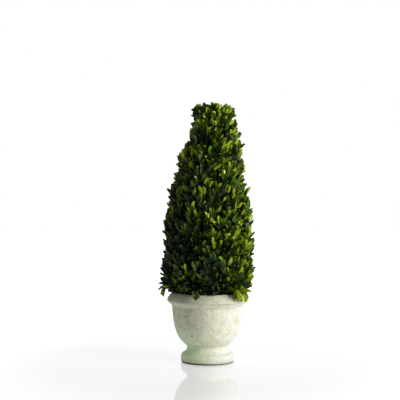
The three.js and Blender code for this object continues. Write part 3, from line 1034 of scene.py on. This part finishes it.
def droop_shoots(node, rng):
    """Shoots that arch out of the skirt and hang over the rim inside a packed sprig."""
    low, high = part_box(node)
    middle = (low + high) / 2
    over_rim = Vector((middle.x, middle.y, high.z + SPRIG_FOOT[0]))
    hanging = Vector((middle.x, middle.y, low.z + SPRIG_LEAF_DROP))
    out = level_out(middle)
    aside = UP.cross(out)
    width = abs(aside.x) * (high.x - low.x) + abs(aside.y) * (high.y - low.y)
    count = max(2, round(width / SPRIG_SHOOT_SPACING))
    further_in, higher = SECOND_ROW
    paths = []
    for index in range(2 * count):
        behind = index >= count
        aside_share = (index % count + (1.0 if behind else 0.5)) / count - 0.5
        shift = aside * aside_share * width * SPRIG_WIDTH_SHARE
        shift -= (out * further_in - UP * higher) * behind
        foot = over_rim - out * SPRIG_FOOT[1] + shift * SPRIG_FOOT_SHARE
        tip = hanging + out * SPRIG_TIP_OUT + shift
        tip.z += rng.uniform(*SPRIG_TIP_SCATTER)
        pull = Vector((middle.x, middle.y, high.z)) + shift
        paths.append(arc(foot, pull, tip, SPRIG_LEAN, SHOOT_POINTS))
    return paths


def thinness(place):
    """1 in the middle of the thin spot, falling to 0 at its edge."""
    return max(0, 1 - ((place - THIN_SPOT).length / THIN_REACH) ** 2)


def pick_tint(place, rng):
    """A tint by its share, with fresh ones gathered in patches and high up, and painted light:
    brighter tints on the lit side, darker low on the shaded side.
    """
    climb = (place.z - RIM_TOP) / (cad_high.z - RIM_TOP)
    # painted light: brighter tints where the key light falls, darker on the shaded side
    lit_side = place.x / cone_high.x
    at_rim, change, bow = LIT_SIDE_PAINTED_LIGHT if lit_side > 0 else SHADED_SIDE_PAINTED_LIGHT
    lit_side *= at_rim + change * climb + bow * climb**2
    patch = noise.noise(place * PATCH_SCALE + PATCH_SHIFT)
    freshness_and_painted_light = PATCH_FRESHNESS * patch + CLIMB_FRESHNESS_AND_LIGHT * (climb - FRESH_FROM) + lit_side
    freshness_and_painted_light -= THIN_SHADE * thinness(place)
    pick = rng.random() ** (2 ** -freshness_and_painted_light)
    total = 0
    picked = "gold"
    for name in TINT_NAMES:
        total += LEAF_TINTS[name].share
        if pick < total:
            picked = name
            break
    # painted sheen on the shaded side
    shaded = rng.random() < -PAINTED_SHEEN_SHARE * place.x / cone_high.x
    return "sage" if shaded and picked in PAINTED_SHEEN_FOR else picked


def aged(tint, number):
    """The tint of a leaf in the pair of this number down from the tip: old pairs are darker."""
    for _ in range(FRESH_PAIRS, number + 1):
        tint = LEAF_TINTS[tint].ages_to
    return tint


def tip_of(leaf):
    return leaf.place + leaf.blade * leaf.length


class Spray:
    """A leafy shoot: its path and its leaves."""

    def __init__(self, path, rng, tint=None, pairs=LEAF_PAIRS, keeps=SPRAY_KEEPS_TINT):
        self.path = path
        self.leaves = []
        tint = tint or pick_tint(path[-1], rng)
        full = rng.uniform(*LEAF_LENGTH)
        turn = rng.uniform(0, math.pi)
        walked = 0.0
        for number, (spread, share) in enumerate(pairs):
            place, along = self.point_back(walked)
            aside = along.orthogonal().normalized()
            for side in (0, math.pi):
                around = Quaternion(along, turn + side + rng.gauss(0, PAIR_TURN_SCATTER)) @ aside
                own = aged(tint if rng.random() < keeps else pick_tint(place, rng), number)
                self.add_leaf(place, along, around, spread, full * share, own, rng)
            walked += rng.uniform(*PAIR_SPACING)
            turn += math.pi / 2

    def settle(self, skin, normal, looseness, overreach, rng):
        """Moves the shoot in or out until its outermost leaf tip is as deep as it should be."""
        hollow = max(0, noise.noise(self.path[-1] * TUFT_SCALE + TUFT_SHIFT)) * TUFT_DEPTH
        hollow += thinness(self.path[-1]) * THIN_DEPTH
        depth = DEPTH_SCATTER * rng.random() ** DEPTH_CROWDING + hollow
        depth = depth * looseness - overreach
        shift = normal * (max(stand_off(skin, tip_of(leaf)) for leaf in self.leaves) + depth)
        self.path = [point - shift for point in self.path]
        for leaf in self.leaves:
            leaf.place = leaf.place - shift
        return self

    def point_back(self, walked):
        """The place and the direction of growth at a distance back from the tip."""
        points = self.path
        for index in range(len(points) - 1, 0, -1):
            step = points[index] - points[index - 1]
            if walked <= step.length:
                return points[index] - step.normalized() * walked, step.normalized()
            walked -= step.length
        return points[0], (points[1] - points[0]).normalized()

    def add_leaf(self, place, along, around, spread, length, tint, rng):
        lean = math.radians(spread + rng.gauss(0, ANGLE_SCATTER))
        blade = along * math.cos(lean) + around * math.sin(lean)
        face = along * math.sin(lean) - around * math.cos(lean)
        face = Quaternion(blade, math.radians(rng.gauss(0, ROLL_SCATTER))) @ face
        length *= rng.uniform(*LENGTH_SCATTER)
        leaf = SimpleNamespace(place=place, blade=blade, face=face, length=length)
        leaf.width = length * rng.uniform(*LEAF_WIDTH_SHARE)
        leaf.habit = rng.randrange(len(LEAF_HABITS))
        leaf.tint = TINT_NAMES.index(tint)
        self.leaves.append(leaf)


def leaf_half_width(along):
    """Half the blade's width for its full width: widest past the middle, with a round tip."""
    end = abs(2 * (along * LEAF_REACH) ** LEAF_WIDEST - 1)
    return math.sqrt(max(0, 1 - end**LEAF_FULLNESS)) / 2 * smooth(along * 2) ** LEAF_SHOULDER


def leaf_form(fold, sag, droop):
    """A unit leaf along +Y with its upper side up, closed by a back that meets it at the edge."""
    form = bmesh.new()
    stations = len(LEAF_STATIONS) - 1
    bmesh.ops.create_grid(form, x_segments=2, y_segments=stations, size=0.5)
    for vert in form.verts:
        along = LEAF_STATIONS[round((vert.co.y + 0.5) * stations)]
        side = round(vert.co.x * 2)
        half = leaf_half_width(along)
        lift = fold * abs(side) * half * 0.5 + sag * math.sin(math.pi * along) - droop * along**2
        vert.co = (side * half, along, lift)
    bmesh.ops.remove_doubles(form, verts=form.verts, dist=LEAF_JOIN)
    back = bmesh.ops.duplicate(form, geom=form.verts[:] + form.edges[:] + form.faces[:])["geom"]
    back_faces = [g for g in back if isinstance(g, bmesh.types.BMFace)]
    bmesh.ops.reverse_faces(form, faces=back_faces)
    for face in back_faces:
        face.material_index = 1
    for vert in (g for g in back if isinstance(g, bmesh.types.BMVert)):
        on_midrib = abs(vert.co.x) < LEAF_JOIN and 0 < vert.co.y < 1 - LEAF_JOIN
        if on_midrib:
            vert.co.z -= LEAF_THICKNESS
    bmesh.ops.remove_doubles(form, verts=form.verts, dist=LEAF_JOIN)
    form.verts.index_update()
    corners = np.array([v.co for v in form.verts])
    faces = [[v.index for v in face.verts] for face in form.faces]
    backs = np.array([face.material_index for face in form.faces])
    form.free()
    return corners, faces, backs


def gather(leaves, key):
    return np.array([getattr(leaf, key) for leaf in leaves])[:, None]


def join_leaves(name, leaves, materials, node):
    """Every leaf of a mass in one mesh, its colours dealt out leaf by leaf."""
    points, loops, starts, tints = [], [], [], []
    point_count = loop_count = 0
    backs_used = [BACK_NAMES.index(tint.back) for tint in LEAF_TINTS.values()]
    back_of = np.array(backs_used) + len(TINT_NAMES)
    for habit, shape in enumerate(LEAF_HABITS):
        mine = [leaf for leaf in leaves if leaf.habit == habit]
        if not mine:
            continue
        corners, faces, backs = leaf_form(**shape)
        place, blade, face, tint = (gather(mine, key) for key in ("place", "blade", "face", "tint"))
        length, width = (gather(mine, key)[:, None] for key in ("length", "width"))
        across = np.cross(blade, face)
        x, y, z = corners[None, :, 0:1], corners[None, :, 1:2], corners[None, :, 2:3]
        points.append((place + x * width * across + (y * blade + z * face) * length).reshape(-1, 3))
        flat = np.concatenate([np.array(f) for f in faces])
        sizes = np.array([len(f) for f in faces])
        first = point_count + np.arange(len(mine))[:, None] * len(corners)
        loops.append((first + flat[None]).ravel())
        face_starts = np.concatenate([[0], np.cumsum(sizes)[:-1]])
        loop_first = loop_count + np.arange(len(mine))[:, None] * len(flat)
        starts.append((loop_first + face_starts[None]).ravel())
        tints.append(np.where(backs[None] == 1, back_of[tint], tint).ravel())
        point_count += len(mine) * len(corners)
        loop_count += len(mine) * len(flat)
    mesh_data = bpy.data.meshes.new(name)
    mesh_data.vertices.add(point_count)
    mesh_data.vertices.foreach_set("co", np.concatenate(points).ravel().astype(np.float32))
    mesh_data.loops.add(loop_count)
    mesh_data.loops.foreach_set("vertex_index", np.concatenate(loops).astype(np.int32))
    mesh_data.polygons.add(sum(len(s) for s in starts))
    mesh_data.polygons.foreach_set("loop_start", np.concatenate(starts).astype(np.int32))
    mesh_data.polygons.foreach_set("material_index", np.concatenate(tints).astype(np.int32))
    mesh_data.update(calc_edges=True)
    mesh_data.validate()
    add_piece(name, mesh_data, materials, [node])


def clear_of_urn(leaf, urn):
    """True where neither the blade nor its tip runs into the urn."""
    return urn.ray_cast(leaf.place, leaf.blade, leaf.length * URN_CLEARANCE)[0] is None


def clipped(leaf):
    """True where the shears that keep the top flat would cut the blade off."""
    return tip_of(leaf).z > cad_high.z - CLIP_DROP


def grow_sprays(rng):
    """The leafy shoots of each packed mass: on its skin, behind the cone's skin, and hanging."""
    nodes = set(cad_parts)
    skin = solid_of("foliage_cone", "foliage_head")
    sprays = {}
    for node, spacing, rise, looseness, overreach in (
        ("foliage_cone", CONE_SPACING, cone_rise, 1.0, CONE_OVERREACH),
        ("foliage_head", HEAD_SPACING, head_rise, HEAD_LOOSENESS, HEAD_OVERREACH),
    ):
        neighbours = solid_of(*sorted(nodes - {node}))
        sprays[node] = [
            Spray(grow_shoot(place, rise(place), rng), rng).settle(
                skin, normal, looseness, overreach, rng
            )
            for place, normal in leafy_places(node, spacing, neighbours, SEED + len(node))
        ]
    for place, _ in leafy_places("foliage_cone", LINING_SPACING, solid_of("urn"), SEED):
        path = grow_shoot(place - level_out(place) * LINING_DEPTH, SIDE_RISE, rng)
        sprays["foliage_cone"].append(Spray(path, rng, "shade", LEAF_PAIRS[1:]))
    for node, (tint, pairs) in SPRIGS.items():
        sprays[node] = [
            Spray(path, rng, tint, pairs, SPRIG_KEEPS_TINT) for path in droop_shoots(node, rng)
        ]
    return sprays


def leaf_pieces(node, leaves, materials):
    """The leaves of a mass in one piece, or in several from the bottom up."""
    count = -(-len(leaves) // MOST_LEAVES)
    share = -(-len(leaves) // count)
    leaves.sort(key=lambda leaf: leaf.place.z)
    for band in range(count):
        name = f"{node}_leaves_{band + 1}" if count > 1 else f"{node}_leaves"
        join_leaves(name, leaves[band * share : (band + 1) * share], materials, node)


def make_foliage(materials, bark, twig_bark):
    rng = random.Random(SEED)
    urn = solid_of("urn")
    leader = grow_leader()
    boughs = grow_boughs(solid_of("foliage_cone"), rng)
    bearing = leader + [ring for bough in boughs for ring in bough[BOUGH_BARE:]]
    limb_tree = tree_of([point for point, _ in bearing])
    limbs_piece("boughs", [leader] + boughs, LIMB_SIDES, bark)
    for node, mass in grow_sprays(rng).items():
        leaves = [leaf for spray in mass for leaf in spray.leaves if not clipped(leaf)]
        leaves = [leaf for leaf in leaves if clear_of_urn(leaf, urn)]
        leaf_pieces(node, leaves, materials)
        twigs = [twig_to(spray.path, limb_tree) for spray in mass]
        limbs_piece(f"{node}_twigs", twigs, TWIG_SIDES, twig_bark)
        print(node, "sprays", len(mass), "leaves", len(leaves))


# ---- The whole scene ----


def main():
    bpy.context.scene.view_settings.view_transform = "Standard"
    make_camera()
    make_backdrop()
    make_key_light()
    make_floor(white_table_finish())
    make_urn(aged_cement_finish())
    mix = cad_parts["planting_mix"].data
    mix.materials.clear()
    mix.materials.append(planting_mix_finish())
    bark = bark_finish("box_bark", *OLD_BARK)
    twig_bark = bark_finish("young_bark", *YOUNG_BARK)
    make_stem(bark)
    make_foliage(leaf_materials(), bark, twig_bark)


main()
